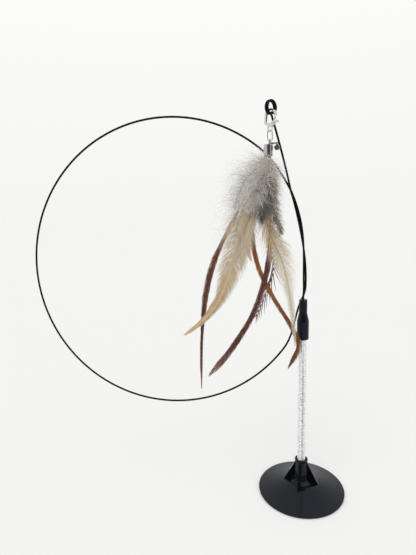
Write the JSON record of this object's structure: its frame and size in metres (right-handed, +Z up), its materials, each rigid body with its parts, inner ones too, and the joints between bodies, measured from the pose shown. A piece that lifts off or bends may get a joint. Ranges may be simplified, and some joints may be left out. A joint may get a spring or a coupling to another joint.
{
  "type": "cat teaser wand",
  "caption": "Self-standing cat teaser wand: suction cup, spring stem and a looped black wire that hangs a feather tassel with a small bell from a claw clasp.",
  "frame": {"origin": "centre of the suction cup's flat ring, on the surface that the cup stands on", "axes": "+Z up along the spring stem; +X to the right and -Y towards the viewer, so the wire's loop faces -Y and stands to the left of the stem"},
  "size_m": [0.2685, 0.075, 0.3294],
  "materials": {
    "cup_rubber": "glossy soft moulded rubber",
    "spring_steel": "bright drawn spring wire",
    "plug_steel": "plain turned steel",
    "boot_vinyl": "satin dipped vinyl",
    "wire_coat": "satin black plastic coat on spring wire",
    "clasp_metal": "bright nickel plate",
    "gate_metal": "bright nickel plate",
    "rivet_metal": "headed steel",
    "gate_spring_wire": "fine spring wire",
    "link_metal": "bright nickel plate",
    "cap_metal": "nickel plate, brushed by the crimping tool",
    "glue": "set craft glue",
    "ring_metal": "plain split ring wire",
    "bell_metal": "dark nickel plate",
    "pellet_metal": "steel ball",
    "down_pale": "fluffy down",
    "hackle_barred": "barred hackle with loose barbs",
    "hackle_orange": "smooth hackle",
    "hackle_purple": "smooth hackle",
    "down_right": "fluffy down",
    "feather_cream": "thin pale vane on a tan shaft",
    "hackle_dark_red": "smooth hackle",
    "feather_broad_tan": "broad vane with soft edges",
    "down_left": "fluffy down",
    "feather_small_tan": "narrow vane",
    "feather_slim_tan": "narrow vane",
    "down_dark": "fluffy down",
    "feather_streak": "narrow vane",
    "down_front": "fluffy down"
  },
  "bodies": {
    "base": {"suction_cup": "cup_rubber"},
    "stem": {"stem_spring": "spring_steel"},
    "wand": {"ferrule": "boot_vinyl", "crimp_plug": "plug_steel", "wand_wire": "wire_coat"},
    "clasp": {"clasp_body": "clasp_metal", "clasp_rivet": "rivet_metal", "clasp_spring": "gate_spring_wire"},
    "gate": {"clasp_gate": "gate_metal"},
    "link": {"link_ring": "link_metal"},
    "tassel": {"crimp_cap": "cap_metal", "glue_plug": "glue", "down_feather_back": "down_pale", "barred_hackle": "hackle_barred", "orange_hackle": "hackle_orange", "purple_hackle": "hackle_purple", "down_feather_right": "down_right", "cream_feather": "feather_cream", "dark_red_hackle": "hackle_dark_red", "broad_tan_feather": "feather_broad_tan", "down_feather_left": "down_left", "small_tan_feather": "feather_small_tan", "slim_tan_feather": "feather_slim_tan", "down_feather_middle": "down_dark", "tan_streak_feather": "feather_streak", "down_feather_front": "down_front"},
    "bell_ring": {"bell_ring": "ring_metal"},
    "bell": {"bell_shell": "bell_metal"},
    "pellet": {"bell_pellet": "pellet_metal"}
  },
  "joints": [
    {"name": "stem_turn", "type": "hinge", "parent": "base", "child": "stem", "pos_m": [0, 0, 0.0196], "axis": [0, 0, 1], "continuous": true},
    {"name": "stem_sway", "type": "hinge", "parent": "stem", "child": "wand", "pos_m": [0, 0, 0.066], "axis": [0, 1, 0], "range_deg": [-30, 60], "stiffness_Nm_per_rad": 0.2, "springref_deg": 4.01, "deforming": ["stem_spring"]},
    {"name": "clasp_swing", "type": "hinge", "parent": "wand", "child": "clasp", "pos_m": [-0.0287, -0.0148, 0.31855], "axis": [0.6157, 0.788, 0], "range_deg": [-11, 4]},
    {"name": "gate_turn", "type": "hinge", "parent": "clasp", "child": "gate", "pos_m": [-0.02724, -0.01594, 0.31275], "axis": [-0.6157, -0.788, 0], "range_deg": [0, 20], "stiffness_Nm_per_rad": 0.0004, "springref_deg": -17.19},
    {"name": "link_swing", "type": "hinge", "parent": "clasp", "child": "link", "pos_m": [-0.02942, -0.01424, 0.30719], "axis": [0.788, -0.6157, 0], "range_deg": [-12, 0]},
    {"name": "tassel_swing", "type": "hinge", "parent": "link", "child": "tassel", "pos_m": [-0.0293, -0.01433, 0.30169], "axis": [0, 1, 0], "range_deg": [-20, 20]},
    {"name": "bell_ring_lift", "type": "hinge", "parent": "tassel", "child": "bell_ring", "pos_m": [-0.0293, -0.01433, 0.29889], "axis": [-0.766, -0.6428, 0], "range_deg": [0, 40]},
    {"name": "bell_swing", "type": "hinge", "parent": "bell_ring", "child": "bell", "pos_m": [-0.02437, -0.01663, 0.29875], "axis": [0, -1, 0], "range_deg": [-3, 40]},
    {"name": "pellet_rattle", "type": "slide", "parent": "bell", "child": "pellet", "axis": [0, 0, 1], "range_m": [0, 0.0016]}
  ]
}
